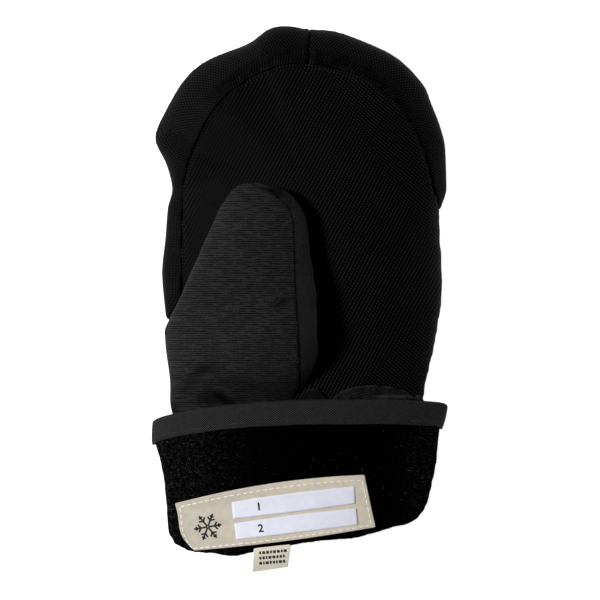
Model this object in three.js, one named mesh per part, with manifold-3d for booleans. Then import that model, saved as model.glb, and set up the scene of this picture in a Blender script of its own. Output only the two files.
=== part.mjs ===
// A child's padded winter mitten lying palm up, with its thumb folded over the palm and
// its cuff turned up as a fleece collar. Millimetres: +Y runs to the fingertips, +X to the
// little finger's side and +Z up out of the palm. The rows below are measured from the
// middle of the mitten's outline, and the last lines stand the whole on its own floor.

import * as THREE from 'three';
import Module from 'manifold-3d';

const wasm = await Module();
wasm.setup();

// Cloth thicknesses and clearances
const padding = 4.2;
const seamGap = 0.3;
const bendSteps = 5;

// The hand is a flattened sac. Its rays start on a spine along Y, and at domeY they fan
// out round the fingertips. A ray's angle is 90 on the spine's palm side, 0 at the outline
// and -90 on the spine's back, which lies flat on the floor.
const spineX = 1;
const domeY = 42;
const crownPower = 1.15;
const palmSteps = 7;
const bandSteps = 4;
const backSteps = 7;
const cuffHalfSteps = 14;
const panelEndY = -36.5;
const hollowEndY = -70;
const middleSeamAngle = 87.6;
const rightBandEndY = 32.5;
const leftBandEndY = -7;

// Sections of the hand across Y: the outline left and right, then the heights of the crown
// and of the outline, and how far the back lies below the outline
const handRows = [
  { y: -96, left: -40.6, right: 40, crown: 25, side: 14.5, below: 10.4 },
  { y: -80, left: -44, right: 41.4, crown: 25, side: 14.5, below: 10.4 },
  { y: -71, left: -44, right: 42.6, crown: 25, side: 14.6, below: 10.1 },
  { y: -60, left: -43.4, right: 43.3, crown: 25, side: 14.8, below: 9.9 },
  { y: -46, left: -42.6, right: 42.7, crown: 25, side: 15, below: 8.1 },
  { y: -38, left: -41.8, right: 44.5, crown: 25, side: 15, below: 7.7 },
  { y: -30, left: -41, right: 45.6, crown: 26.5, side: 14.5, below: 9 },
  { y: -22, left: -41, right: 47.5, crown: 28, side: 13.5, below: 11.5 },
  { y: -14.4, left: -44.5, right: 49.1, crown: 29, side: 12.5, below: 13.5 },
  { y: -7.6, left: -48.2, right: 50.2, crown: 29.8, side: 12, below: 14.5 },
  { y: 0, left: -48.8, right: 51.3, crown: 30.5, side: 11.5, below: 15 },
  { y: 9, left: -49.7, right: 51.5, crown: 31, side: 11, below: 15 },
  { y: 18, left: -48.9, right: 51, crown: 31, side: 11, below: 15 },
  { y: 27, left: -48.2, right: 50.6, crown: 30.6, side: 11, below: 15 },
  { y: 34, left: -47.2, right: 51, crown: 30.1, side: 11, below: 15 },
  { y: 38, left: -46, right: 52.1, crown: 29.9, side: 11, below: 15 },
  { y: 42, left: -45.7, right: 52.7, crown: 29.6, side: 11, below: 15 },
];

// Where the palm's seam runs, left and right. A seam beyond the outline lies on the outline.
const seamRows = [
  { y: -7.6, left: -48.2, right: 53 },
  { y: 0, left: -43.5, right: 52.6 },
  { y: 9, left: -43.2, right: 52.2 },
  { y: 27, left: -43.1, right: 51 },
  { y: 31, left: -42.9, right: 50.8 },
  { y: 34, left: -42.8, right: 50.5 },
  { y: 38, left: -42.6, right: 49.4 },
  { y: 42, left: -42.5, right: 48.2 },
];

// The fingertips' dome: how far the outline and the palm's seam lie from its centre
const domeRows = [
  { angle: 0, edge: 51.7, seam: 47.2 },
  { angle: 12, edge: 52.7, seam: 46 },
  { angle: 20, edge: 53.5, seam: 45.5 },
  { angle: 32, edge: 54.7, seam: 45.1 },
  { angle: 38, edge: 56.5, seam: 44.9 },
  { angle: 46, edge: 56.9, seam: 44.5 },
  { angle: 54, edge: 56.7, seam: 44.2 },
  { angle: 64, edge: 55.7, seam: 43.8 },
  { angle: 78, edge: 55.9, seam: 43.3 },
  { angle: 87.6, edge: 55.6, seam: 43.4 },
  { angle: 96, edge: 56.9, seam: 43.4 },
  { angle: 103, edge: 57, seam: 43.2 },
  { angle: 110, edge: 54.4, seam: 42.9 },
  { angle: 120, edge: 54.8, seam: 42.5 },
  { angle: 134, edge: 57.1, seam: 42.3 },
  { angle: 148, edge: 56, seam: 41.7 },
  { angle: 159, edge: 56.4, seam: 41.4 },
  { angle: 166, edge: 54, seam: 41.9 },
  { angle: 171, edge: 50.1, seam: 42.5 },
  { angle: 180, edge: 47.1, seam: 43.5 },
];

// The thumb is a tube from its tip down to its root inside the hand. Tilt lifts its right
// edge over its left one, above and below are its heights from that line, and seam is
// where its front panel meets its under panel.
const thumbSteps = 8;
const thumbWrap = { from: 180, to: 250, startY: 20, endY: -20 };
const thumbTip = { startY: 25, length: 17, least: 0.25 };
const thumbRows = [
  { y: -45, left: -45, right: -4, middle: 16.5, tilt: 1, above: 6, below: 4, seam: -4.6 },
  { y: -38, left: -47, right: -1.5, middle: 17, tilt: 2, above: 7, below: 4.5, seam: -2 },
  { y: -32.4, left: -47.1, right: 1.1, middle: 19.5, tilt: 4.5, above: 10.5, below: 6.5, seam: 0.4 },
  { y: -24, left: -47.8, right: 5.4, middle: 23, tilt: 8, above: 15.5, below: 12, seam: 0.4 },
  { y: -14.4, left: -48.7, right: 6.1, middle: 29, tilt: 9, above: 16, below: 13, seam: -0.2 },
  { y: -8, left: -47.8, right: 6.1, middle: 33, tilt: 6, above: 14, below: 12, seam: -0.5 },
  { y: 0, left: -43.2, right: 6.1, middle: 36.8, tilt: 2, above: 11.6, below: 9, seam: -0.9 },
  { y: 7, left: -40.3, right: 5.2, middle: 37.8, tilt: 0.5, above: 10.6, below: 7.6, seam: -1.3 },
  { y: 15, left: -36.7, right: 4.1, middle: 37.6, tilt: 0, above: 10, below: 7.6, seam: -1.4 },
  { y: 22.7, left: -33.5, right: 3.2, middle: 36.8, tilt: 0, above: 9.3, below: 7.2, seam: -1.8 },
  { y: 28, left: -31, right: 2.5, middle: 36.2, tilt: 0, above: 8.8, below: 7, seam: -2 },
  { y: 33, left: -28.8, right: 0.4, middle: 35.6, tilt: 0, above: 8, below: 6.6, seam: -3.6 },
  { y: 36.7, left: -26.3, right: -2.5, middle: 35.2, tilt: 0, above: 7, below: 6, seam: -7.6 },
  { y: 39.6, left: -24.1, right: -6.1, middle: 35, tilt: 0, above: 5.5, below: 5, seam: -11.5 },
  { y: 41, left: -22, right: -11.9, middle: 35, tilt: 0, above: 4, below: 3.8, seam: -15.5 },
  { y: 42, left: -19, right: -16.5, middle: 35, tilt: 0, above: 0.5, below: 0.5, seam: -17.2 },
];

// The cuff by the angle round the wrist: 0 right, 90 palm, 180 left and 270 back. Fold is
// where the wall turns back on itself, brim is the collar's top, and flare is how far the
// collar stands out there. Start is the part of its height at which it begins to stand out.
const flareFull = 0.85;
const cuffRows = [
  { angle: 0, fold: -74.5, brim: -37.6, flare: 3.7, start: 0 },
  { angle: 15, fold: -79, brim: -36.6, flare: 3.7, start: 0 },
  { angle: 30, fold: -81.2, brim: -36.2, flare: 3.6, start: 0 },
  { angle: 42, fold: -82, brim: -35.9, flare: 3.5, start: 0.03 },
  { angle: 52, fold: -84, brim: -35.6, flare: 3.4, start: 0.05 },
  { angle: 90, fold: -86, brim: -35.7, flare: 3, start: 0.1 },
  { angle: 100, fold: -87, brim: -36.1, flare: 3.1, start: 0.12 },
  { angle: 120, fold: -90.2, brim: -37.1, flare: 3.4, start: 0.15 },
  { angle: 150, fold: -91, brim: -40.2, flare: 4.4, start: 0.2 },
  { angle: 165, fold: -90, brim: -41.8, flare: 5, start: 0.25 },
  { angle: 180, fold: -86, brim: -43.2, flare: 5.5, start: 0.28 },
  { angle: 195, fold: -90, brim: -42.8, flare: 5, start: 0.25 },
  { angle: 210, fold: -91, brim: -41.4, flare: 4.4, start: 0.2 },
  { angle: 240, fold: -92.2, brim: -38.5, flare: 3, start: 0.1 },
  { angle: 270, fold: -88, brim: -37, flare: 2.1, start: 0.05 },
  { angle: 300, fold: -85.4, brim: -37, flare: 2.5, start: 0 },
  { angle: 330, fold: -81, brim: -37.3, flare: 3.5, start: 0 },
  { angle: 345, fold: -79, brim: -37.4, flare: 3.9, start: 0 },
  { angle: 360, fold: -74.5, brim: -37.6, flare: 3.7, start: 0 },
];

// The folded cuff's layers, as the radii of the turn that each face makes at the fold
const foldCentre = -0.1;
const fleeceFace = 4.1;
const fleeceBack = 2.3;
const wristBack = 1.85;
const wristFace = 0.7;
const brimDepths = [1.8, 5, 8.8];
const collarSteps = 3;
const legY = -45;
const liningTopY = -37;
const wristTopY = -37.2;

// Two gathered pleats of the wrist cloth that stand up over the palm's end
const pleatTurnY = -40;
const pleatLift = 2.3;
const pleatStartAngle = 70;
const smallPleatAngle = 83.5;
const pleats = [
  { from: 0, to: 11, rise: 6.2 },
  { from: 11, to: 40.5, rise: 6.7 },
];

// The binding's section: how far a point lies below the brim, and its place in the wall
const bindingRows = [
  { depth: 8.8, off: 4.3 },
  { depth: 8.8, off: 5 },
  { depth: 5, off: 5.2 },
  { depth: 1.2, off: 5.2 },
  { depth: 0.3, off: 4.6 },
  { depth: 0, off: 3.2 },
  { depth: 0, off: 1.4 },
  { depth: 0.3, off: 0.2 },
  { depth: 1.2, off: -0.45 },
  { depth: 6, off: -0.45 },
  { depth: 6, off: 0.3 },
  { depth: 1.5, off: 0.3 },
  { depth: 1.5, off: 4.3 },
  { depth: 5, off: 4.35 },
];

// The name label sewn on the collar: its four corners, how far its long edges bow, and how
// far its left end bulges
const label = {
  topLeft: [-43.8, -73.2],
  topRight: [22.5, -62.8],
  bottomRight: [26.3, -81.3],
  bottomLeft: [-37.1, -89.8],
  topBow: 2.1,
  bottomBow: 0.7,
  leftBulge: 2.2,
  thickness: 0.7,
  gap: 0.45,
  lengthSteps: 14,
  widthSteps: 4,
};
const collarPasses = 8;

// The size tag, a folded loop of tape that hangs out of the cuff's fold
const tag = {
  topLeft: [-16.2, -89.15],
  topRight: [-3.7, -87.8],
  bottomRight: [-4.5, -95.4],
  bottomLeft: [-16.9, -97.2],
  tape: 0.35,
  slot: 0.5,
  rootZ: 25.4,
  droop: 3,
  bendSteps: 4,
};

// Materials
function finish(color, roughness) {
  return new THREE.MeshStandardMaterial({ color, roughness, metalness: 0 });
}
const wovenCloth = finish(0x18191c, 0.8);
const ribbedCloth = finish(0x2c2c2e, 0.85);
const fleeceCloth = finish(0x0c0c0e, 1);
const wristCloth = finish(0x26262a, 0.85);
const tapeCloth = finish(0x2d2d30, 0.75);
const labelCloth = finish(0xcdc1ad, 0.7);

const radians = THREE.MathUtils.degToRad;
const lerp = THREE.MathUtils.lerp;

// The table's row at a value of its key column, with the columns between two rows blended
function rowAt(table, key, value) {
  const inside = THREE.MathUtils.clamp(value, table[0][key], table[table.length - 1][key]);
  const next = Math.max(1, table.findIndex((row) => row[key] >= inside));
  const low = table[next - 1];
  const high = table[next];
  const blend = (inside - low[key]) / (high[key] - low[key]);
  const row = {};
  for (const column of Object.keys(low)) {
    row[column] = lerp(low[column], high[column], blend);
  }
  return row;
}

// A ray of the hand on its right side (hand is 1) or its left side (hand is -1)
function sideRay(hand, y) {
  const row = rowAt(handRows, 'y', y);
  const seam = rowAt(seamRows, 'y', y);
  return {
    foot: [spineX, y],
    way: [hand, 0],
    reach: Math.abs((hand > 0 ? row.right : row.left) - spineX),
    seam: Math.abs((hand > 0 ? seam.right : seam.left) - spineX),
    crown: row.crown,
    side: row.side,
    below: row.below,
  };
}

function domeRay(angle) {
  const row = rowAt(domeRows, 'angle', angle);
  const end = rowAt(handRows, 'y', domeY);
  return {
    foot: [spineX, domeY],
    way: [Math.cos(radians(angle)), Math.sin(radians(angle))],
    reach: row.edge,
    seam: row.seam,
    crown: end.crown,
    side: end.side,
    below: end.below,
  };
}

// The point of the hand's skin on a ray at angle phi, moved out by off. Inside the wall the
// flat of the back rises with the cloth, and outside it no collar goes below the floor.
function skin(ray, phi, off) {
  const run = (ray.reach + off) * Math.cos(phi);
  const rise = Math.abs(Math.sin(phi));
  const floor = off > seamGap ? 0 : -off;
  const top = ray.side + (ray.crown - ray.side + off) * rise ** crownPower;
  const bottom = Math.max(ray.side - (ray.below + off) * rise, floor);
  return [ray.foot[0] + ray.way[0] * run, ray.foot[1] + ray.way[1] * run, phi >= 0 ? top : bottom];
}

// The palm seam's angle on a ray
function seamAngle(ray) {
  return Math.acos(Math.min(1, ray.seam / ray.reach));
}

// Half a seam's gap as an angle, at the angle phi of a ray
function halfGapAngle(ray, phi) {
  const speed = Math.hypot(ray.reach * Math.sin(phi), (ray.crown - ray.side) * Math.cos(phi));
  return seamGap / 2 / speed;
}

// Triangles between the rows of a grid of points
function addGrid(triangles, grid, flip) {
  for (let i = 0; i + 1 < grid.length; i += 1) {
    for (let j = 0; j + 1 < grid[i].length; j += 1) {
      const [a, b, c, d] = [grid[i][j], grid[i + 1][j], grid[i + 1][j + 1], grid[i][j + 1]];
      triangles.push(...(flip ? [[a, c, b], [a, d, c]] : [[a, b, c], [a, c, d]]));
    }
  }
}

// A solid from loose triangles: equal points become one, and flat triangles go
function solidOf(triangles) {
  const indexOf = new Map();
  const vertices = [];
  const faces = [];
  for (const triangle of triangles) {
    const corners = triangle.map((point) => {
      const name = point.map((value) => Math.round(value * 1000)).join();
      if (!indexOf.has(name)) {
        indexOf.set(name, indexOf.size);
        vertices.push(...point);
      }
      return indexOf.get(name);
    });
    if (new Set(corners).size === 3) {
      faces.push(...corners);
    }
  }
  const build = (order) => new wasm.Manifold(new wasm.Mesh({
    numProp: 3,
    vertProperties: new Float32Array(vertices),
    triVerts: new Uint32Array(order),
  }));
  const solid = build(faces);
  return solid.volume() > 0 ? solid : build(faces.reverse());
}

// Which sides of a wall get a rim: all, or all but the one on the spine, where it runs on
const allRound = { start: true, end: true, near: true, far: true };
const onSpine = { ...allRound, near: false };

// A wall between two grids of points
function wallOf(outer, inner, rims) {
  const triangles = [];
  const last = outer.length - 1;
  const width = outer[0].length - 1;
  const column = (j) => outer.map((row, i) => [row[j], inner[i][j]]);
  const across = (i) => outer[i].map((point, j) => [point, inner[i][j]]);
  addGrid(triangles, outer, false);
  addGrid(triangles, inner, true);
  if (rims.start) addGrid(triangles, across(0), false);
  if (rims.end) addGrid(triangles, across(last), true);
  if (rims.near) addGrid(triangles, column(0), true);
  if (rims.far) addGrid(triangles, column(width), false);
  return solidOf(triangles);
}

function largestOf(solid) {
  const pieces = solid.decompose();
  return pieces.reduce((best, piece) => (piece.volume() > best.volume() ? piece : best));
}

function meshOf(name, solid, material) {
  const result = solid.getMesh();
  const points = new Float32Array(result.vertProperties);
  const geometry = new THREE.BufferGeometry();
  geometry.setAttribute('position', new THREE.BufferAttribute(points, 3));
  geometry.setIndex(new THREE.BufferAttribute(new Uint32Array(result.triVerts), 1));
  geometry.computeVertexNormals();
  const mesh = new THREE.Mesh(geometry, material);
  mesh.name = name;
  return mesh;
}

// The rays of one side of the hand (hand is 1 on the right, -1 on the left), from endY up
function sideRays(hand, endY) {
  const ys = [...handRows.map((row) => row.y), rightBandEndY, leftBandEndY];
  const own = ys.filter((y) => y > endY && y < domeY).sort((a, b) => a - b);
  return [endY, ...own].map((y) => sideRay(hand, y));
}

// The hand's rays from the wrist up the right side, round the fingertips and down the left
function handRays(endY) {
  const dome = domeRows.map((row) => domeRay(row.angle));
  return [...sideRays(1, endY), ...dome, ...sideRays(-1, endY).reverse()];
}

// A tip band's rays, from its end on one side of the hand round to the middle seam
function bandRays(hand, endY) {
  const seam = rowAt(domeRows, 'angle', middleSeamAngle).seam;
  const halfGap = THREE.MathUtils.radToDeg(seamGap / 2 / seam);
  const own = domeRows.filter((row) => hand * (middleSeamAngle - row.angle) > 0);
  const dome = own.map((row) => domeRay(row.angle));
  const last = domeRay(middleSeamAngle - hand * halfGap);
  const side = sideRays(hand, endY);
  return hand > 0 ? [...side, ...dome, last] : [last, ...dome, ...side.reverse()];
}

// One panel of the hand's wall, between the angles from and to on each ray
function handPanel(rays, from, to, steps, rims) {
  const grid = (off) => rays.map((ray) => {
    const row = [];
    for (let j = 0; j <= steps; j += 1) {
      row.push(skin(ray, lerp(from(ray), to(ray), j / steps), off));
    }
    return row;
  });
  return wallOf(grid(0), grid(-padding), rims);
}

function palmEdge(ray) {
  const phi = seamAngle(ray);
  return phi + halfGapAngle(ray, phi);
}

function bandEdge(ray) {
  const phi = seamAngle(ray);
  return phi - halfGapAngle(ray, phi);
}

// The whole hand as one filled solid, its skin moved out by off
function handSolid(endY, off) {
  const rays = handRays(endY);
  const steps = palmSteps + bandSteps + backSteps;
  const skinRow = (ray) => {
    const edge = seamAngle(ray);
    const row = [];
    for (let j = 0; j <= steps; j += 1) {
      const onBack = j - palmSteps - bandSteps;
      let phi = lerp(edge, -edge, (j - palmSteps) / bandSteps);
      if (j < palmSteps) phi = lerp(Math.PI / 2, edge, j / palmSteps);
      if (onBack > 0) phi = lerp(-edge, -Math.PI / 2, onBack / backSteps);
      row.push(skin(ray, phi, off));
    }
    return row;
  };
  const grid = rays.map(skinRow);
  const triangles = [];
  addGrid(triangles, grid, false);
  addGrid(triangles, [grid[grid.length - 1], grid[0]], false);
  return solidOf(triangles);
}

// The thumb's ring at one of its rows: points from the seam over its front to the wrap,
// then on round its underside back to the seam, moved out by off
function thumbPoint(row, angle, off) {
  const half = (row.right - row.left) / 2;
  const shrink = (size) => Math.max(size + off, thumbTip.least * size);
  const near = THREE.MathUtils.clamp((row.y - thumbTip.startY) / thumbTip.length, 0, 1);
  const height = Math.sin(angle) >= 0 ? shrink(row.above) : shrink(row.below);
  return [
    (row.left + row.right) / 2 + shrink(half) * Math.cos(angle),
    row.y + off * near,
    row.middle + row.tilt * Math.cos(angle) + height * Math.sin(angle),
  ];
}

function thumbAngles(row, under) {
  const half = (row.right - row.left) / 2;
  const seam = Math.acos((row.seam - (row.left + row.right) / 2) / half);
  const down = THREE.MathUtils.smoothstep(-row.y, -thumbWrap.startY, -thumbWrap.endY);
  const wrap = radians(lerp(thumbWrap.from, thumbWrap.to, down));
  const gap = (angle) => {
    const height = Math.sin(angle) >= 0 ? row.above : row.below;
    return seamGap / 2 / Math.hypot(half * Math.sin(angle), height * Math.cos(angle));
  };
  const start = under ? wrap + gap(wrap) : seam + gap(seam);
  const end = under ? seam + 2 * Math.PI - gap(seam) : wrap - gap(wrap);
  const angles = [];
  for (let j = 0; j <= thumbSteps; j += 1) {
    angles.push(lerp(start, end, j / thumbSteps));
  }
  return angles;
}

function thumbPanel(under) {
  const grid = (off) => thumbRows.map((row) => (
    thumbAngles(row, under).map((angle) => thumbPoint(row, angle, off))
  ));
  return wallOf(grid(0), grid(-padding), allRound);
}

function thumbSolid(off) {
  const rings = thumbRows.map((row, i) => {
    const angles = [...thumbAngles(row, false), ...thumbAngles(row, true)];
    const ring = angles.map((angle) => thumbPoint(row, angle, off));
    if (i === 0) ring.forEach((point) => { point[1] -= off; });
    return [...ring, ring[0]];
  });
  const triangles = [];
  const middleOf = (points, axis) => (
    points.reduce((sum, point) => sum + point[axis], 0) / points.length
  );
  const capOf = (ring) => ring.map(() => [0, 1, 2].map((axis) => middleOf(ring.slice(1), axis)));
  addGrid(triangles, [capOf(rings[0]), ...rings, capOf(rings[rings.length - 1])], false);
  return solidOf(triangles);
}

// The cuff's columns: the angles round the wrist, each on its side of the spine, with one
// more at the small pleat's middle
function cuffColumns() {
  const columns = [];
  for (const hand of [1, -1]) {
    const turns = [];
    for (let j = 0; j < cuffHalfSteps; j += 1) {
      turns.push(lerp(-90, 90, j / cuffHalfSteps) * hand);
    }
    if (hand > 0) turns.push(smallPleatAngle);
    for (const phi of turns) {
      const angle = ((hand > 0 ? phi : 180 - phi) + 360) % 360;
      columns.push({ hand, phi: radians(phi), ...rowAt(cuffRows, 'angle', angle) });
    }
  }
  return columns;
}

function cuffPoint(column, y, off) {
  return skin(sideRay(column.hand, y), column.phi, off);
}

function foldY(column) {
  return column.fold + fleeceFace;
}

// The collar's place in the wall at y, for a face that turns with the given radius
function collarOff(column, y, radius) {
  const height = Math.max(0, (y - foldY(column)) / (column.brim - foldY(column)));
  const out = THREE.MathUtils.smoothstep(height, column.start, flareFull);
  return foldCentre + radius + column.flare * out;
}

// One face of the cuff in a column, from the brim down the collar, round the fold and up
// inside to the hand's panels
function cuffFace(column, radius, inside) {
  const centreY = foldY(column);
  const ys = brimDepths.map((depth) => column.brim - depth);
  const lowest = ys[ys.length - 1];
  for (let i = 1; i <= collarSteps; i += 1) {
    ys.push(lerp(lowest, centreY, i / collarSteps));
  }
  const face = ys.map((y) => cuffPoint(column, y, collarOff(column, y, radius)));
  for (let i = 1; i <= bendSteps; i += 1) {
    const turn = lerp(Math.PI, 0, i / bendSteps);
    const y = centreY - radius * Math.sin(turn);
    face.push(cuffPoint(column, y, foldCentre - radius * Math.cos(turn)));
  }
  for (const stop of [{ y: (centreY + legY) / 2, lift: 0 }, ...inside(column)]) {
    face.push(cuffPoint(column, stop.y, foldCentre - radius + stop.lift));
  }
  return face;
}

// A layer of the cuff: every column's outer and inner face as one closed loop of the wall
function cuffLayer(face, back, inside) {
  const columns = cuffColumns();
  const section = (column) => {
    const loop = [...cuffFace(column, face, inside), ...cuffFace(column, back, inside).reverse()];
    return [...loop, loop[0]];
  };
  const grid = [...columns, columns[0]].map(section);
  const triangles = [];
  addGrid(triangles, grid, false);
  return solidOf(triangles);
}

function liningInside() {
  return [{ y: legY, lift: 0 }, { y: liningTopY, lift: 0 }];
}

// How high the pleats stand over the wrist cloth's edge at x
function pleatRise(x) {
  const pleat = pleats.find((one) => x > one.from && x < one.to);
  if (!pleat) return 0;
  return pleat.rise * Math.sqrt(Math.sin(Math.PI * (x - pleat.from) / (pleat.to - pleat.from)));
}

// The wrist cloth inside the cuff. Over the palm its edge is lifted clear of the panel.
function wristInside(column) {
  const overPalm = column.phi > (column.hand > 0 ? 0 : radians(pleatStartAngle));
  const height = overPalm ? pleatRise(cuffPoint(column, wristTopY, 0)[0]) : 0;
  const lift = overPalm ? pleatLift : 0;
  return [
    { y: legY, lift: 0 },
    { y: pleatTurnY, lift: 0 },
    { y: wristTopY, lift },
    { y: wristTopY + height, lift },
  ];
}

function binding() {
  const columns = cuffColumns();
  const section = (column) => [...bindingRows, bindingRows[0]].map((row) => {
    const y = column.brim - row.depth;
    return cuffPoint(column, y, collarOff(column, y, row.off - foldCentre));
  });
  const triangles = [];
  addGrid(triangles, [...columns, columns[0]].map(section), false);
  return solidOf(triangles);
}

// The point lifted off the collar above the plan point x, y. Past the fold it runs straight
// on, as a stiff label does.
function onCollar(x, y, lift) {
  const hand = x > spineX ? 1 : -1;
  const ray = sideRay(hand, y);
  let column = { hand, phi: Math.PI / 4 };
  let off = 0;
  for (let pass = 0; pass < collarPasses; pass += 1) {
    const angle = THREE.MathUtils.radToDeg(hand > 0 ? column.phi : Math.PI - column.phi);
    column = { ...column, ...rowAt(cuffRows, 'angle', angle) };
    off = collarOff(column, y, fleeceFace);
    column.phi = Math.acos(Math.min(1, Math.abs(x - spineX) / (ray.reach + off)));
  }
  return cuffPoint(column, y, off + lift);
}

// From 0 up to 1 half way along and back
function arch(share) {
  return 4 * share * (1 - share);
}

// From 0 up to 1 two thirds of the way along and back
function lateArch(share) {
  return (27 / 4) * share * share * (1 - share);
}

function between(corners, across, down) {
  return [0, 1].map((axis) => lerp(
    lerp(corners.topLeft[axis], corners.topRight[axis], across),
    lerp(corners.bottomLeft[axis], corners.bottomRight[axis], across),
    down,
  ));
}

function nameLabel() {
  const grid = (lift) => {
    const rows = [];
    for (let i = 0; i <= label.lengthSteps; i += 1) {
      const row = [];
      for (let j = 0; j <= label.widthSteps; j += 1) {
        const across = i / label.lengthSteps;
        const down = j / label.widthSteps;
        const [x, y] = between(label, across, down);
        const bow = arch(across) * lerp(label.topBow, -label.bottomBow, down);
        const bulge = label.leftBulge * lateArch(down) * (1 - across) ** 2;
        row.push(onCollar(x - bulge, y + bow, lift));
      }
      rows.push(row);
    }
    return rows;
  };
  return wallOf(grid(label.gap + label.thickness), grid(label.gap), allRound);
}

function sizeTag() {
  const inner = tag.slot / 2;
  const outer = inner + tag.tape;
  const place = (across, down, z) => {
    const [x, y] = between(tag, across, down);
    return [x, y, tag.rootZ - tag.droop * down * down + z];
  };
  const face = (across, half) => {
    const row = [place(across, 0, half), place(across, 1 / 2, half)];
    for (let i = 0; i <= tag.bendSteps; i += 1) {
      const turn = lerp(Math.PI / 2, -Math.PI / 2, i / tag.bendSteps);
      const [x, y, z] = place(across, 1, 0);
      row.push([x, y - half * Math.cos(turn), z + half * Math.sin(turn)]);
    }
    return [...row, place(across, 1 / 2, -half), place(across, 0, -half)];
  };
  return wallOf([face(0, outer), face(1, outer)], [face(0, inner), face(1, inner)], allRound);
}

const spineTop = () => Math.PI / 2;
const spineBottom = () => -Math.PI / 2;
const lowerEdge = (ray) => -palmEdge(ray);
const lowerBand = (ray) => -bandEdge(ray);
const handHollow = handSolid(hollowEndY, -padding);
const thumbRoom = thumbSolid(seamGap);
const wholeRays = handRays(panelEndY);
const rightRays = bandRays(1, rightBandEndY);
const leftRays = bandRays(-1, leftBandEndY);
const palm = handPanel(wholeRays, spineTop, palmEdge, palmSteps, onSpine);
const back = handPanel(wholeRays, spineBottom, lowerEdge, backSteps, onSpine);
const rightBand = handPanel(rightRays, bandEdge, lowerBand, bandSteps, allRound);
const leftBand = handPanel(leftRays, bandEdge, lowerBand, bandSteps, allRound);
const lining = cuffLayer(fleeceFace, fleeceBack, liningInside);
const wrist = cuffLayer(wristBack, wristFace, wristInside);

const clearOfThumb = (solid) => largestOf(solid.subtract(thumbRoom));
const mitten = new THREE.Group();
mitten.add(
  meshOf('palm_panel', clearOfThumb(palm), wovenCloth),
  meshOf('back_shell', clearOfThumb(back), wovenCloth),
  meshOf('tip_band_right', clearOfThumb(rightBand), wovenCloth),
  meshOf('tip_band_left', clearOfThumb(leftBand), wovenCloth),
  meshOf('thumb_front', largestOf(thumbPanel(false).subtract(handHollow)), ribbedCloth),
  meshOf('thumb_under', largestOf(thumbPanel(true).subtract(handHollow)), ribbedCloth),
  meshOf('cuff_lining', clearOfThumb(lining), fleeceCloth),
  meshOf('wrist_shell', clearOfThumb(wrist), wristCloth),
  meshOf('cuff_binding', binding(), tapeCloth),
  meshOf('name_label', nameLabel(), labelCloth),
  meshOf('size_tag', sizeTag(), labelCloth),
);

const box = new THREE.Box3().setFromObject(mitten);
const middle = box.getCenter(new THREE.Vector3());
mitten.position.set(-middle.x, -middle.y, -box.min.z);
mitten.updateMatrixWorld(true);

export default mitten;
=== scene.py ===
"""A child's padded winter mitten: a woven palm with padded tips, a ribbed thumb folded over
it, a bound fleece cuff turned up, a sewn name label and a size tag."""

import math

import bmesh
import bpy
import numpy as np
from bpy.props import FloatProperty, FloatVectorProperty, IntProperty, PointerProperty
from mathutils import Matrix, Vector
from mathutils.bvhtree import BVHTree


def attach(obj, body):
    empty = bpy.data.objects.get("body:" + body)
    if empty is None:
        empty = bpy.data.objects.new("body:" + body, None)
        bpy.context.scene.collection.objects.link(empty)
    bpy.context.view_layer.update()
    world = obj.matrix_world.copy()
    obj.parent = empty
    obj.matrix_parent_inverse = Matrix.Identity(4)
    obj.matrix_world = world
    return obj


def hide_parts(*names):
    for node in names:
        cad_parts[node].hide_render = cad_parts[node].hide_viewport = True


bl_info = {
    "name": "Padded mitten",
    "version": (1, 0, 0),
    "blender": (4, 5, 0),
    "location": "3D View > Sidebar > Mitten",
    "description": "Dresses the mitten's frame in woven cloth, fleece, tape and labels",
    "category": "Object",
}

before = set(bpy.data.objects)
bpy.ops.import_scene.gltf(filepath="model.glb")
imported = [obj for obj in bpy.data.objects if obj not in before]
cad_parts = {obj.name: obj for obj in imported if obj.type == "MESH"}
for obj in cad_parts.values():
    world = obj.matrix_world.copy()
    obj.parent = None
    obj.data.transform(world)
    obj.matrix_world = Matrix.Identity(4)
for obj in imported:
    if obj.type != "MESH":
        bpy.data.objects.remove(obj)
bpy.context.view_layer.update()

MM = 0.001

# Straight down, and a height from which a ray meets any piece from above
DOWN = Vector((0, 0, -1))
SKY = 100.0

# Where the middle of the drawing lies in the frame: the places below are measured from it
MIDDLE = np.array([0.10, -0.39])

# The hand's middle: its spine, where the fingertips' dome starts, and its oval section
SPINE_X = 1.0
DOME_Y = 42.0
DOME_SEAM = 45.0
GIRTH = {"middle": (0.5, 14.5), "across": 50.0, "high": 15.0}

# How near a sewn edge comes to the CAD's edge of the panel beside it
SEAM_TOUCH = 0.12

# The least height of any point, so that nothing sinks into the floor
FLOOR_GAP = 0.02

# The wrist cloth above this height is on the mitten's upper side
UPPER_SIDE = 20.0

# The corners of a thread with three sides, as turns round its middle
THREE_SIDES = (0, 2 * math.pi / 3, 4 * math.pi / 3)


def shade_of(name, description, value):
    return FloatVectorProperty(
        name=name, description=description, default=value, size=3, min=0, max=1,
        subtype="COLOR",
    )


def length_of(name, description, value, low, high):
    return FloatProperty(
        name=name, description=description, default=value, min=low, max=high,
        unit="LENGTH", precision=5,
    )


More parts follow.
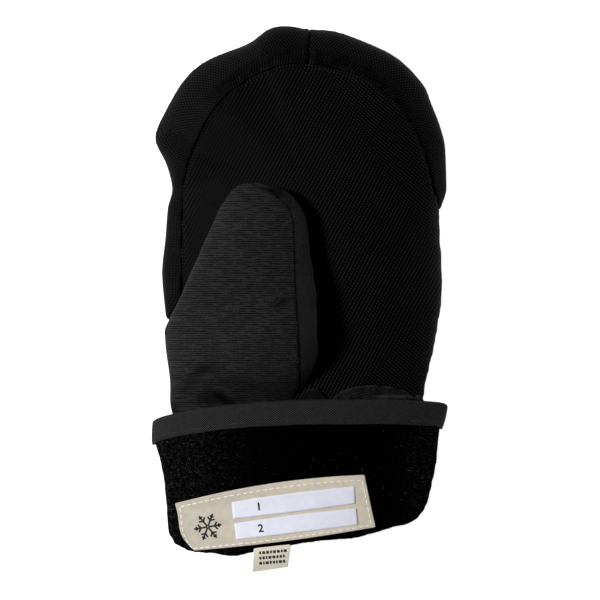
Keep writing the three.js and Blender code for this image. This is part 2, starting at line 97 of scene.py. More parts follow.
class MittenHand(bpy.types.PropertyGroup):
    grain: length_of(
        "Grain", "Size of the padded panels' faces", 0.00075, 0.0005, 0.003)
    seam_roll: length_of(
        "Seam roll", "How far from a seam the padding rolls in", 0.0016, 0.0, 0.005)
    unevenness: length_of(
        "Unevenness", "Height of the padding's soft swells", 0.00035, 0.0, 0.002)
    weave_pitch: length_of(
        "Weave pitch", "Distance between the weave's rows of dots", 0.0012, 0.0005, 0.004)
    strip: length_of(
        "Ribbed strip", "Width of the ribbed strip beside the palm's seam", 0.0042, 0.001, 0.01)
    yarn: shade_of("Yarn", "Colour of the weave's raised yarns", (0.0136, 0.0136, 0.0142))
    gap: shade_of("Gap", "Colour between the weave's yarns", (0.0002, 0.0002, 0.0003))


class MittenThumb(bpy.types.PropertyGroup):
    grain: length_of(
        "Grain", "Size of the thumb panels' faces", 0.0006, 0.0004, 0.003)
    rib_pitch: length_of(
        "Rib pitch", "Distance between the front's fine ribs", 0.0008, 0.0003, 0.003)
    light: shade_of("Light rib", "Colour of the front's raised ribs", (0.0265, 0.0262, 0.0268))
    dark: shade_of("Dark rib", "Colour between the front's ribs", (0.0014, 0.0014, 0.0015))


class MittenCuff(bpy.types.PropertyGroup):
    tape: shade_of("Tape", "Colour of the binding tape", (0.0165, 0.0165, 0.0172))
    thread: shade_of("Thread", "Colour of the binding's stitches", (0.021, 0.021, 0.0225))
    wrist: shade_of("Wrist cloth", "Colour of the gathered wrist cloth", (0.0055, 0.0055, 0.006))
    fleece: shade_of("Fleece", "Colour of the fleece", (0.0003, 0.0003, 0.0003))
    fibre_tip: shade_of("Fibre tips", "Colour of the palest fibres", (0.17, 0.17, 0.175))
    stitch: length_of(
        "Stitch", "Length of one stitch of the binding", 0.0022, 0.001, 0.01)
    fibre: length_of(
        "Fibre", "Usual length of the fleece's fibres", 0.0009, 0.0, 0.004)
    fibres: IntProperty(
        name="Fibres", description="Number of the fleece's fibres", default=24000, min=0,
        max=40000,
    )


class MittenLabel(bpy.types.PropertyGroup):
    satin: shade_of("Satin", "Colour of the name label's cloth", (0.67, 0.602, 0.487))
    # The tag's colour is paler than the label's: partly its own paler cloth and partly painted
    # light, as the tag slopes down away from the key lamp
    tag: shade_of("Tag", "Colour of the size tag's cloth", (0.76, 0.71, 0.60))
    field: shade_of("Field", "Colour of the two writing fields", (0.80, 0.815, 0.92))
    ink: shade_of("Ink", "Colour of the labels' print", (0.022, 0.022, 0.022))
    thread: shade_of("Thread", "Colour of the label's stitches", (0.88, 0.86, 0.77))


class MittenStage(bpy.types.PropertyGroup):
    frame_width: length_of(
        "View width", "Width that the camera takes in", 0.216, 0.05, 2.0)
    camera_height: length_of(
        "Camera height", "Height of the camera over the floor", 3.0, 0.5, 10.0)
    key_power: FloatProperty(
        name="Key light", description="Power of the soft light on the thumb's side",
        default=62.0, min=0.0, unit="POWER",
    )
    fill_power: FloatProperty(
        name="Fill light", description="Power of the light opposite the key light",
        default=2.6, min=0.0, unit="POWER",
    )
    sky: FloatProperty(
        name="Sky", description="Strength of the even light all round",
        default=0.025, min=0.0, max=4.0, subtype="FACTOR",
    )


class Wire:
    """A node's output that takes part in sums as a number does."""

    def __init__(self, cloth, socket):
        self.cloth = cloth
        self.socket = socket

    def math(self, operation, *others):
        settings = {"operation": operation}
        return self.cloth.node("ShaderNodeMath", settings, dict(enumerate((self, *others))))

    def __add__(self, other):
        return self.math("ADD", other)

    def __sub__(self, other):
        return self.math("SUBTRACT", other)

    def __mul__(self, other):
        return self.math("MULTIPLY", other)

    def __truediv__(self, other):
        return self.math("DIVIDE", other)

    def __pow__(self, other):
        return self.math("POWER", other)

    def __abs__(self):
        return self.math("ABSOLUTE")

    def __rsub__(self, other):
        return (self * -1.0).math("ADD", other)

    __radd__ = __add__
    __rmul__ = __mul__

    def wave(self):
        """From 0 to 1 and back once for each whole number."""
        return (self * (2 * math.pi)).math("COSINE") * 0.5 + 0.5

    def step(self, low, high):
        """From 0 at low to 1 at high, with soft ends."""
        settings = {"interpolation_type": "SMOOTHSTEP"}
        values = {"Value": self, "From Min": low, "From Max": high}
        return self.cloth.node("ShaderNodeMapRange", settings, values)

    def between(self, rise, fall):
        """1 between two places and 0 beyond them, with a soft end at each."""
        return self.step(*rise) * (1 - self.step(*fall))


def toned(colour, share):
    """A colour made darker or paler by a share."""
    return tuple(min(1.0, share * part) for part in colour)


class Cloth:
    """A finish made of nodes, with its Principled shader at hand."""

    def __init__(self, name, **constants):
        self.material = bpy.data.materials.new(name)
        self.material.use_nodes = True
        self.tree = self.material.node_tree
        self.shader = self.tree.nodes["Principled BSDF"]
        for socket, value in constants.items():
            self.shader.inputs[socket.replace("_", " ")].default_value = value

    def node(self, kind, settings, inputs, output=0):
        made = self.tree.nodes.new(kind)
        for name, value in settings.items():
            setattr(made, name, value)
        for name, value in inputs.items():
            if isinstance(value, Wire):
                self.tree.links.new(value.socket, made.inputs[name])
            else:
                made.inputs[name].default_value = value
        return Wire(self, made.outputs[output])

    def attribute(self, name):
        """The three parts of a point attribute."""
        return self.parts(self.node("ShaderNodeAttribute", {"attribute_name": name}, {}, "Vector"))

    def parts(self, whole):
        return [self.node("ShaderNodeSeparateXYZ", {}, {0: whole}, axis) for axis in range(3)]

    def spot(self):
        """The place on the object, in millimetres."""
        whole = self.node("ShaderNodeTexCoord", {}, {}, "Object")
        values = {0: whole, "Scale": 1 / MM}
        return self.node("ShaderNodeVectorMath", {"operation": "SCALE"}, values)

    def vector(self, x, y, z):
        return self.node("ShaderNodeCombineXYZ", {}, {0: x, 1: y, 2: z})

    def noise(self, place, pitch, detail=2.0):
        values = {"Vector": place, "Scale": 1 / pitch, "Detail": detail}
        return self.node("ShaderNodeTexNoise", {}, values)

    def mix(self, share, *ends):
        """Between two ends by a share, each of them a colour or a wire that carries one."""
        low, high = (end if isinstance(end, Wire) else (*end, 1.0) for end in ends)
        return self.node("ShaderNodeMix", {"data_type": "RGBA"}, {0: share, 6: low, 7: high}, 2)

    def colour(self, wire):
        self.tree.links.new(wire.socket, self.shader.inputs["Base Color"])

    def relief(self, height, depth):
        """Raises the surface by the height, which is from 0 to 1, times depth in millimetres."""
        values = {"Height": height, "Distance": depth * MM, "Strength": 1.0}
        bumped = self.node("ShaderNodeBump", {}, values)
        self.tree.links.new(bumped.socket, self.shader.inputs["Normal"])


def palm_weave(hand):
    """Two slanted sets of yarns: one shows as lines and the other breaks them into dots."""
    cloth = Cloth("palm weave", Roughness=0.55, Specular_IOR_Level=0.03)
    across, along, seam = cloth.attribute("weave")
    pitch = hand.weave_pitch / MM
    drift = cloth.noise(cloth.vector(across, along, 0.0), 22.0) - 0.5
    rising = ((across * 0.88 - along * 0.47 + drift * 1.5) / pitch).wave()
    falling = ((across * 0.64 + along * 0.77 + drift * 1.5) / (pitch * 0.86)).wave()
    upper = (across * 0.87 + along * 0.49 + drift * 10.0).step(44.0, 55.0)
    lower = (across * 0.75 - along * 0.66 + drift * 8.0).step(33.0, 42.0)
    lean = upper.math("MAXIMUM", lower)
    lines = rising * (1 - lean) + falling * lean
    breaks = falling * (1 - lean) + rising * lean
    # Painted shade on the palm's left part, which faces the key lamp: there the weave is painted
    # darker, more of it takes the gap's colour and its lines break less
    left_painted_shade = (6.0 - across).step(0.0, 38.0)
    height = lines ** 1.8 * (0.3 + left_painted_shade * 0.3 + breaks * (0.7 - left_painted_shade * 0.3))
    over = (along - DOME_Y).math("MAXIMUM", 0.0)
    run = over.math("ARCTAN2", across - SPINE_X) * DOME_SEAM
    run = run + (along - DOME_Y).math("MINIMUM", 0.0)
    edge = 1 - (seam + drift * 2.0).step(1.3, 2.2)
    rim = (run / (pitch * 1.05)).wave() * (seam / 1.1 + 0.2).wave()
    height = height * (1 - edge) + rim * edge * 1.9
    speck = cloth.noise(cloth.vector(across, along, 3.0), 0.5, 1.0)
    # Painted shade in the seam's valley: the cloth darkens within a millimetre of the seam
    tone = (height * (0.5 + speck) * seam.step(0.3, 0.8)).step(0.05 + left_painted_shade * 0.27, 1.0)
    cloth.colour(cloth.mix(tone * (1 - left_painted_shade * 0.38), hand.gap, hand.yarn))
    cloth.relief(height, 0.2)
    return cloth.material


def shell_weave(hand):
    """The same woven cloth on the back, with its rows straight."""
    cloth = Cloth("shell weave", Roughness=0.55, Specular_IOR_Level=0.03)
    across, along, seam = cloth.attribute("weave")
    pitch = hand.weave_pitch / MM
    rising = (across * 0.74 + along * 0.67) / pitch
    falling = (across * 0.74 - along * 0.67) / pitch
    height = rising.wave() * falling.wave()
    speck = cloth.noise(cloth.vector(across, along, seam * 0.2), 0.6, 1.0)
    # Painted shade in the seam's valley: the cloth darkens within a millimetre of the seam
    tone = height * (0.5 + speck) * seam.step(0.35, 0.9)
    cloth.colour(cloth.mix(tone.step(0.0, 1.1), hand.gap, hand.yarn))
    cloth.relief(height, 0.2)
    return cloth.material


# Where the tip bands' weave changes, in millimetres along the palm's seam: 0 is where the
# fingertips' dome starts at the right, 71 its top and 141 where it ends at the left
TIP_TOP = {"rise": (18.0, 30.0), "fall": (100.0, 116.0)}
TIP_LEFT = {"rise": (82.0, 86.0), "fall": (124.0, 126.0)}
TIP_SIDE = (134.0, 146.0)
# Along the seam, where the painted shade on the bands' left part, which faces the key lamp, rises
# to full
TIP_PAINTED_SHADE = (60.0, 90.0)


def tip_weave(hand):
    """Rows of dots beyond a strip of short ribs, which turns to thin lines down the sides."""
    cloth = Cloth("tip weave", Roughness=0.55, Specular_IOR_Level=0.03)
    along, out, seam = cloth.attribute("weave")
    pitch = hand.weave_pitch / MM
    strip = hand.strip / MM
    wobble = cloth.noise(cloth.vector(along, out, 0.0), 3.0) - 0.5
    top = along.between(**TIP_TOP)
    low = along.step(*TIP_SIDE)
    left = (along + wobble * 8.0).between(**TIP_LEFT)
    broken = 0.32 + (out / 0.85).wave() * 0.3 + wobble
    ribs = ((along + out * 0.25) / (pitch * 0.85) + wobble * 0.8).wave() * broken
    lines = (out / 1.3 + wobble * 0.3).wave() * (0.1 + (along / (pitch * 0.8)).wave() * 0.9)
    row = out / (pitch * 1.5)
    file = along / (pitch * 0.88)
    dots = (row + file + wobble * 0.1).wave() * (row - file).wave()
    holes = (1 - dots) ** 5.0 * 0.84
    lattice = dots * (1 - left) + holes * left
    inside = 1 - (out + wobble * 0.4).step(strip - 0.2, strip + 0.2)
    cord = (1 - abs(out - strip - 0.75).step(0.6, 0.9)) * top
    pair = ((out - strip - 0.35) / 0.8).wave() * (0.45 + wobble * 0.6)
    beyond = lattice * (1 - cord) + pair * cord
    rim = ribs * top + lines * low + lattice * (1 - top - low)
    height = (inside * rim + (1 - inside) * beyond) * (1 - low * 0.3)
    speck = cloth.noise(cloth.vector(along, out, 0.0), 0.6, 1.0)
    # Painted shade in the seam's valley: the cloth darkens within a millimetre of the seam
    tone = height * (0.5 + speck) * seam.step(0.3, 0.8)
    # Painted shade on the band's left part, which faces the key lamp
    left_painted_shade = along.step(*TIP_PAINTED_SHADE)
    cloth.colour(cloth.mix(tone.step(0.15, 0.82) * (1 - left_painted_shade * 0.3), hand.gap, hand.yarn))
    cloth.relief(height, 0.2)
    return cloth.material


def rib_cloth(thumb):
    """Pale grainy cloth crossed by fine dark gaps that break up into dashes."""
    cloth = Cloth("thumb rib", Roughness=0.75, Specular_IOR_Level=0.05, Sheen_Weight=0.01)
    across, along, shade = cloth.attribute("weave")
    pitch = thumb.rib_pitch / MM
    drift = cloth.noise(cloth.vector(across * 0.15, along * 0.5, 0.0), 4.0) - 0.5
    gap = 1 - (along / pitch + drift).wave()
    dash = cloth.noise(cloth.vector(across * 0.3, along * 1.4, 5.0), 0.8, 1.0).step(0.32, 0.58)
    speck = cloth.noise(cloth.vector(across * 0.7, along * 1.2, 2.0), 0.34, 1.0).step(0.3, 0.7)
    height = 1 - gap * (0.15 + dash * 0.85)
    # shade is painted shade: darker along the seam and in the folds' creases
    tone = height * (0.38 + speck * 0.62) * shade
    cloth.colour(cloth.mix(tone, thumb.dark, thumb.light))
    cloth.relief(height, 0.12)
    return cloth.material


def twill_cloth(name, pitch, slope, dark, light, relief):
    """Fine slanted lines with a faint second set across them."""
    cloth = Cloth(name, Roughness=0.72, Specular_IOR_Level=0.05, Sheen_Weight=0.01)
    across, along, shade = cloth.attribute("weave")
    line = (across * slope + along) / (pitch * 1.35)
    cross = (across * slope - along) / (pitch * 1.35)
    haze = cloth.noise(cloth.vector(across, along, 0.0), 1.6)
    height = line.wave() * (0.65 + cross.wave() * 0.35)
    # shade is the painted shade of seams and creases, on the pieces that carry it
    tone = (height * 0.85 + haze * 0.3).step(0.2, 0.85) * shade
    cloth.colour(cloth.mix(tone, dark, light))
    cloth.relief(height, relief)
    return cloth.material


def fleece_cloth(cuff):
    """Deep black pile with soft clumps, painted a little paler at the sides: painted light and
    sheen where the sides turn towards the lamps.
    """
    cloth = Cloth("fleece", Roughness=1.0, Specular_IOR_Level=0.0, Sheen_Weight=0.003,
                  Sheen_Roughness=0.6)
    spot = cloth.spot()
    x, _, _ = cloth.parts(spot)
    clumps = cloth.noise(spot, 1.2, 4.0)
    grain = cloth.noise(spot, 0.4, 2.0)
    height = clumps * 0.5 + grain * 0.5
    # Painted light and sheen: the pile is painted paler towards the cuff's left and right sides
    painted_side_light = (-8.0 - x).step(0.0, 40.0) + (x - 33.0).step(0.0, 12.0) * 0.7
    tone = height.step(0.42, 0.68) * (0.02 + painted_side_light * 0.98)
    cloth.colour(cloth.mix(tone, cuff.fleece, toned(cuff.fibre_tip, 0.055)))
    cloth.relief(height, 0.6)
    return cloth.material


# The flat strip at the gathered cloth's right end: its lower and upper edge, and its left end
STRIP = {"rise": (-35.9, -35.6), "fall": (-34.6, -34.3)}
STRIP_LEFT = (24.0, 29.0)


def gathered_cloth(cuff):
    """Thin cloth drawn together into pleats that have a pale edge and fine lines along it."""
    cloth = Cloth("wrist cloth", Roughness=0.7, Specular_IOR_Level=0.06, Sheen_Weight=0.01)
    spot = cloth.spot()
    x, below, y = cloth.attribute("weave")
    bend = cloth.noise(spot, 4.0) - 0.5
    fold = ((below + x * 0.12) / 0.95 + bend * 1.6).wave()
    thread = cloth.noise(spot, 0.35, 1.0).step(0.3, 0.7)
    patch = cloth.noise(spot, 2.2).step(0.3, 0.7)
    edge = 1 - below.step(0.3, 0.9)
    strip = y.between(**STRIP) * x.step(*STRIP_LEFT)
    # Painted shadow: the small pleat lies in shade beside the thumb, so its folds and pale edge
    # are painted darker
    small = 1 - (x - 11.0).step(0.0, 1.0)
    height = fold * patch * 0.6 + thread * 0.2
    edge = edge * (0.3 + thread * 0.5) * (1 - small * 0.6)
    tone = (height * (1 - small * 0.75)).math("MAXIMUM", edge)
    tone = tone.math("MAXIMUM", strip * (0.7 + thread * 0.3))
    cloth.colour(cloth.mix(tone, toned(cuff.wrist, 0.05), toned(cuff.wrist, 4.6)))
    cloth.relief(fold * patch, 0.3)
    return cloth.material


def fibre_cloth(cuff):
    """The pile's fibres, painted paler at the cuff's two sides: painted light and sheen where the
    sides turn towards the lamps.
    """
    cloth = Cloth("fleece fibre", Roughness=0.9, Specular_IOR_Level=0.05, Sheen_Weight=0.01)
    spot = cloth.spot()
    x, _, _ = cloth.parts(spot)
    # Painted light and sheen: the fibres are painted paler towards the cuff's left and right sides
    painted_side_light = (-4.0 - x).step(0.0, 40.0) + (x - 30.0).step(0.0, 14.0) * 0.5
    clump = cloth.noise(spot, 2.4, 3.0).step(0.38, 0.62)
    tone = (0.015 + painted_side_light * 0.8) * (0.2 + clump)
    cloth.colour(cloth.mix(tone.math("MINIMUM", 1.0), cuff.fleece, cuff.fibre_tip))
    return cloth.material


def plain_cloth(name, tone, roughness, pitch, relief, contrast=0.5):
    """A closely woven cloth whose threads only just show."""
    cloth = Cloth(name, Roughness=roughness, Specular_IOR_Level=0.1, Sheen_Weight=0.01)
    spot = cloth.spot()
    grain = cloth.noise(spot, pitch, 3.0)
    darker, paler = toned(tone, 1 - contrast), toned(tone, 1 + contrast)
    cloth.colour(cloth.mix(grain.step(0.25, 0.75), darker, paler))
    cloth.relief(grain, relief)
    return cloth.material


def satin_cloth(name, tone, contrast=0.08, left=1.0):
    """Ribbon with crosswise threads, as woven labels have. At its left it keeps only the share
    left of its tone: painted shade on the end that faces the key lamp."""
    cloth = Cloth(name, Roughness=0.5, Specular_IOR_Level=0.4, Sheen_Weight=0.1)
    across, along, _ = cloth.attribute("weave")
    thread = (across / 0.42).wave() * 0.5 + (along / 0.5).wave() * 0.5
    haze = cloth.noise(cloth.vector(across, along, 0.0), 2.5, 4.0)
    height = thread * 0.7 + haze * 0.3
    darker, paler = toned(tone, 1 - 1.6 * contrast), toned(tone, 1 + contrast)
    share = (thread * 0.35 + haze * 0.9).step(0.2, 0.95)
    # Painted shade: towards the left the ribbon's colours are darkened by the share left
    low = cloth.mix(share, toned(darker, left), toned(paler, left))
    full = cloth.mix(share, darker, paler)
    cloth.colour(cloth.mix(across.step(-50.0, 22.0), low, full))
    cloth.relief(height, 0.05)
    return cloth.material


def points_of(piece):
    """The piece's points in millimetres, one a row."""
    flat = np.empty(len(piece.data.vertices) * 3)
    piece.data.vertices.foreach_get("co", flat)
    return flat.reshape(-1, 3) / MM


def set_points(piece, points):
    piece.data.vertices.foreach_set("co", (points * MM).astype(np.float32).ravel())
    piece.data.update()


def normals_of(piece):
    flat = np.empty(len(piece.data.vertices) * 3)
    piece.data.vertices.foreach_get("normal", flat)
    return flat.reshape(-1, 3)


def edges_of(piece):
    flat = np.empty(len(piece.data.edges) * 2, dtype=np.int64)
    piece.data.edges.foreach_get("vertices", flat)
    return flat.reshape(-1, 2)


def set_weave(piece, across, along, third):
    """Keeps the cloth's own coordinates on the piece, in millimetres."""
    values = np.column_stack([across, along, third]).astype(np.float32)
    attribute = piece.data.attributes.new("weave", "FLOAT_VECTOR", "POINT")
    attribute.data.foreach_set("vector", values.ravel())


def clear_selection():
    bpy.ops.object.select_all(action="DESELECT")


def run_along(line):
    """How far along a line of points each one lies."""
    return np.concatenate([[0], np.cumsum(np.linalg.norm(np.diff(line, axis=0), axis=1))])


def relax(points, edges, rounds, share):
    """Moves each point towards the middle of its neighbours, by a share of the way."""
    ends = np.concatenate([edges[:, 0], edges[:, 1]])
    others = np.concatenate([edges[:, 1], edges[:, 0]])
    count = np.bincount(ends, minlength=len(points))[:, None]
    share = np.broadcast_to(share, len(points))[:, None]
    for _ in range(rounds):
        near = points[others]
        total = [np.bincount(ends, near[:, axis], len(points)) for axis in range(3)]
        points = points + share * (np.column_stack(total) / np.maximum(count, 1) - points)
    return points


def round_off(points, edges, rounds):
    """Rounds small corners and keeps the large shape: each step in is followed by one out."""
    for _ in range(rounds):
        points = relax(points, edges, 1, 0.5)
        points = relax(points, edges, 1, -0.52)
    return points


def swell(points, pitch, seed):
    """A soft hill and valley pattern from -1 to 1 with hills about a pitch apart."""
    chance = np.random.default_rng(seed)
    total = np.zeros(len(points))
    for _ in range(6):
        way = chance.normal(size=3)
        way *= 2 * math.pi / pitch / np.linalg.norm(way) * chance.uniform(0.7, 1.3)
        total += np.sin(points @ way + chance.uniform(0, 2 * math.pi))
    return total / 3.5


def hill(points, centre, sizes, turn=0.0):
    """1 at the centre in plan, falling off over sizes along and across a direction."""
    angle = math.radians(turn)
    x = points[:, 0] - centre[0] - MIDDLE[0]
    y = points[:, 1] - centre[1] - MIDDLE[1]
    along = x * math.cos(angle) + y * math.sin(angle)
    aside = y * math.cos(angle) - x * math.sin(angle)
    return np.exp(-((along / sizes[0]) ** 2) - (aside / sizes[1]) ** 2)


def off_floor(points):
    """Keeps points from sinking into the floor."""
    return np.maximum(points, [-np.inf, -np.inf, FLOOR_GAP])


def ramp(values, low, high):
    """From 0 at low to 1 at high, with soft ends."""
    part = np.clip((values - low) / (high - low), 0, 1)
    return part * part * (3 - 2 * part)


def tree_of(*names):
    """One search tree over CAD nodes or finished pieces."""
    corners, faces = [], []
    for name in names:
        mesh = bpy.data.objects[name].data
        start = len(corners)
        corners.extend(tuple(vertex.co) for vertex in mesh.vertices)
        faces.extend([start + index for index in face.vertices] for face in mesh.polygons)
    return BVHTree.FromPolygons(corners, faces)


def nearest(points, tree):
    """How far each point lies from the tree's surface, and the nearest places on it."""
    found = [tree.find_nearest(Vector(point * MM)) for point in points]
    places = np.array([tuple(place) for place, _, _, _ in found]) / MM
    return np.linalg.norm(points - places, axis=1), places


def girth(points):
    """How far round the mitten's oval section each point lies from its right edge."""
    middle, across, high = GIRTH["middle"], GIRTH["across"], GIRTH["high"]
    turn = np.arctan2((points[:, 2] - middle[1]) / high, (points[:, 0] - middle[0]) / across)
    stops = np.linspace(-math.pi, math.pi, 721)
    speed = np.hypot(across * np.sin(stops), high * np.cos(stops))
    steps = (speed[1:] + speed[:-1]) / 2 * np.diff(stops)
    return np.interp(turn, stops, np.concatenate([[0.0], np.cumsum(steps)]))


def seam_run(points):
    """How far along the palm's seam each point lies: up the right side, round, and down."""
    over = np.maximum(points[:, 1] - DOME_Y, 0)
    angle = np.arctan2(over, points[:, 0] - SPINE_X)
    below = np.minimum(points[:, 1] - DOME_Y, 0)
    side = np.where(points[:, 0] > SPINE_X, 1.0, -1.0)
    return angle * DOME_SEAM + side * below


def cloth_from(node, name):
    """A copy of a CAD node's mesh as a new piece, merged, active and alone selected."""
    clear_selection()
    piece = bpy.data.objects.new(name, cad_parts[node].data.copy())
    piece.data.name = name
    piece.data.materials.clear()
    bpy.context.collection.objects.link(piece)
    bpy.context.view_layer.objects.active = piece
    piece.select_set(True)
    bpy.ops.mesh.customdata_custom_splitnormals_clear()
    bpy.ops.object.mode_set(mode="EDIT")
    bpy.ops.mesh.select_all(action="SELECT")
    bpy.ops.mesh.remove_doubles(threshold=0.01 * MM)
    flat = math.radians(60)
    bpy.ops.mesh.tris_convert_to_quads(face_threshold=flat, shape_threshold=flat)
    bpy.ops.object.mode_set(mode="OBJECT")
    return piece


def apply(piece, kind, **settings):
    """Adds a modifier with these settings and applies it."""
    modifier = piece.modifiers.new(kind.lower(), kind)
    for name, value in settings.items():
        setattr(modifier, name, value)
    bpy.context.view_layer.objects.active = piece
    bpy.ops.object.modifier_apply(modifier=modifier.name)


def smooth_through(piece, levels, corner=50, crease=0.75):
    """Subdivides a cage so that its smooth skin still passes through the cage's points."""
    cage = bmesh.new()
    cage.from_mesh(piece.data)
    sharp = cage.edges.layers.float.new("crease_edge")
    for edge in cage.edges:
        if len(edge.link_faces) == 2 and edge.calc_face_angle() > math.radians(corner):
            edge[sharp] = crease
    cage.to_mesh(piece.data)
    cage.free()
    wanted = points_of(piece)
    modifier = piece.modifiers.new("smooth", "SUBSURF")
    modifier.levels = modifier.render_levels = levels
    for _ in range(3):
        view = bpy.context.evaluated_depsgraph_get()
        skin = points_of(piece.evaluated_get(view))[:len(wanted)]
        miss = wanted - skin
        size = np.linalg.norm(miss, axis=1, keepdims=True)
        set_points(piece, points_of(piece) + miss * np.minimum(1, 0.6 / np.maximum(size, 0.01)))
    bpy.context.view_layer.objects.active = piece
    bpy.ops.object.modifier_apply(modifier=modifier.name)


def dress(piece, slot, material, *nodes):
    """Gives a finished piece its cloth and smooth faces, hangs it on the root and hides the CAD
    nodes it stands for.
    """
    piece.data.materials.append(material)
    for face in piece.data.polygons:
        face.use_smooth = True
    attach(piece, "root")
    if nodes:
        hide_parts(*nodes)
    return piece


def padded_panel(node, name, grain, neighbours, roll):
    """A panel's even, rounded skin with its edges rolled in at the seams."""
    piece = cloth_from(node, name)
    smooth_through(piece, 2, crease=1.0)
    apply(piece, "REMESH", mode="VOXEL", voxel_size=grain, use_smooth_shade=True)
    edges = edges_of(piece)
    points = round_off(points_of(piece), edges, 12)
    others = tree_of(*neighbours)
    seam, _ = nearest(points, others)
    lip = np.exp(-((seam / (roll / MM)) ** 2))
    points = relax(points, edges, 7, 0.5 * lip)
    seam, beside = nearest(points, others)
    closing = np.clip(seam - SEAM_TOUCH, 0, None) * (1 - ramp(seam, 0.5, 1.1))
    points += (beside - points) * (closing / np.maximum(seam, 0.01))[:, None]
    set_points(piece, points)
    return piece, seam


# The distance from one pucker along the seams to the next
PUCKER = 9.0


class MITTEN_OT_hand(bpy.types.Operator):
    """Makes the woven palm, the back and the two padded tip bands"""
    bl_idname = "mitten.hand"
    bl_label = "Hand panels"

    def execute(self, context):
        hand = context.scene.mitten_hand
        palm, back, tips = palm_weave(hand), shell_weave(hand), tip_weave(hand)
        panels = {
            "palm_panel": ("palm_pad", palm),
            "back_shell": ("back_pad", back),
            "tip_band_right": ("tip_pad_right", tips),
            "tip_band_left": ("tip_pad_left", tips),
        }
        for seed, (node, (name, weave)) in enumerate(panels.items()):
            neighbours = [other for other in panels if other != node]
            piece, seam = padded_panel(node, name, hand.grain, neighbours, hand.seam_roll)
            points = points_of(piece)
            away = ramp(seam, 0.5, 6.0)
            wander = swell(points, 30.0, seed) * 3
            puckers = np.sin(seam_run(points) * 2 * math.pi / PUCKER + wander)
            rise = hand.unevenness / MM * away * (swell(points, 24.0, 10 + seed) + 0.4)
            rise += 0.12 * np.exp(-seam / 3.5) * ramp(seam, 0.3, 1.5) * puckers
            if weave == tips:
                self.shape_end(piece, points, neighbours[2], node.endswith("left"))
            points = off_floor(points + normals_of(piece) * rise[:, None])
            set_points(piece, points)
            if weave == palm:
                set_weave(piece, points[:, 0], points[:, 1], seam)
            elif weave == back:
                set_weave(piece, girth(points), points[:, 1], seam)
            else:
                out, _ = nearest(points, tree_of("palm_panel"))
                set_weave(piece, seam_run(points), out, seam)
            dress(piece, "shell_weave", weave, node)
        return {"FINISHED"}

    def shape_end(self, piece, points, other_band, left):
        """Swells a tip band's end out where the two bands meet: the left one stands up in a
        ridge there and the right one dips under it."""
        ends, _ = nearest(points, tree_of(other_band))
        ways = np.maximum(normals_of(piece), 0)
        ridge = 0.3 * np.exp(-((ends - 1.1) / 0.8) ** 2)
        dip = -0.7 * np.exp(-((ends / 1.5) ** 2))
        push = (0.9 if left else 0.6) * np.exp(-((ends / 1.6) ** 2))
        points[:, 1] += push * ways[:, 1]
        points[:, 2] += (ridge if left else dip) * ways[:, 2]


# Hollows and folds of the thumb's two panels: place, sizes and depth in millimetres, turn in
# degrees, and the share of light that a crease loses, painted as shade into the cloth's colour
THUMB_FOLDS = [
    {"at": (-5.4, -1.1), "sizes": (3.2, 1.5), "turn": 20, "depth": 1.0, "dark": 0.4},
    {"at": (-12.4, 40.2), "sizes": (3.6, 1.3), "turn": -18, "depth": 0.9, "dark": 0.65},
    {"at": (-8.6, 38.0), "sizes": (2.6, 1.2), "turn": -28, "depth": 0.5, "dark": 0.55},
    {"at": (-19.0, 36.6), "sizes": (4.2, 1.0), "turn": -40, "depth": 0.6, "dark": 0.35},
    {"at": (-9.0, 31.5), "sizes": (4.5, 1.4), "turn": -28, "depth": 0.5, "dark": 0.0},
    {"at": (-32.6, -25.0), "sizes": (3.8, 1.5), "turn": 6, "depth": 1.4, "dark": 0.6},
    {"at": (-38.0, -29.0), "sizes": (7.0, 2.2), "turn": 48, "depth": 1.2, "dark": 0.35},
    {"at": (-20.0, -30.4), "sizes": (11.0, 1.9), "turn": -4, "depth": 0.8, "dark": 0.38},
    {"at": (-26.2, -36.2), "sizes": (5.8, 1.3), "turn": -33, "depth": 2.4, "dark": 1.0},
    {"at": (-30.6, -36.8), "sizes": (5.0, 2.3), "turn": -24, "depth": 1.4, "dark": 0.55},
    {"at": (-24.5, -33.5), "sizes": (6.0, 1.4), "turn": -33, "depth": -0.7, "dark": 0.0},
    {"at": (-45.2, -41.0), "sizes": (1.8, 2.6), "turn": 15, "depth": 1.6, "dark": 0.5},
    {"at": (-34.0, -40.6), "sizes": (10.0, 0.9), "turn": 10, "depth": 0.6, "dark": 0.4},
    {"at": (-20.0, 2.0), "sizes": (14.0, 2.6), "turn": -12, "depth": 0.3, "dark": 0.0},
    {"at": (-26.0, -12.0), "sizes": (12.0, 2.4), "turn": 24, "depth": 0.4, "dark": 0.0},
]
UNDER_FOLDS = [
    {"at": (-8.2, 38.9), "sizes": (3.2, 1.9), "turn": -25, "depth": 1.2, "dark": 0.92},
    {"at": (-3.0, 34.4), "sizes": (2.4, 0.9), "turn": -50, "depth": 0.5, "dark": 0.35},
]


# How far from a seam the thumb's padding rolls in
THUMB_ROLL = 1.1 * MM


def folded(piece, points, seam, folds):
    """Sinks the folds into a panel's upper side, and says how much light each point gets: painted
    shade, darker near the seam and in the creases.
    """
    rise = np.zeros(len(points))
    shade = ramp(seam, 0.25, 1.05)
    for fold in folds:
        hollow = hill(points, fold["at"], fold["sizes"], fold["turn"])
        rise -= fold["depth"] * hollow
        shade = shade * (1 - fold["dark"] * np.minimum(1, 1.8 * hollow))
    sunk = points.copy()
    sunk[:, 2] += rise * np.maximum(normals_of(piece)[:, 2], 0)
    return sunk, shade


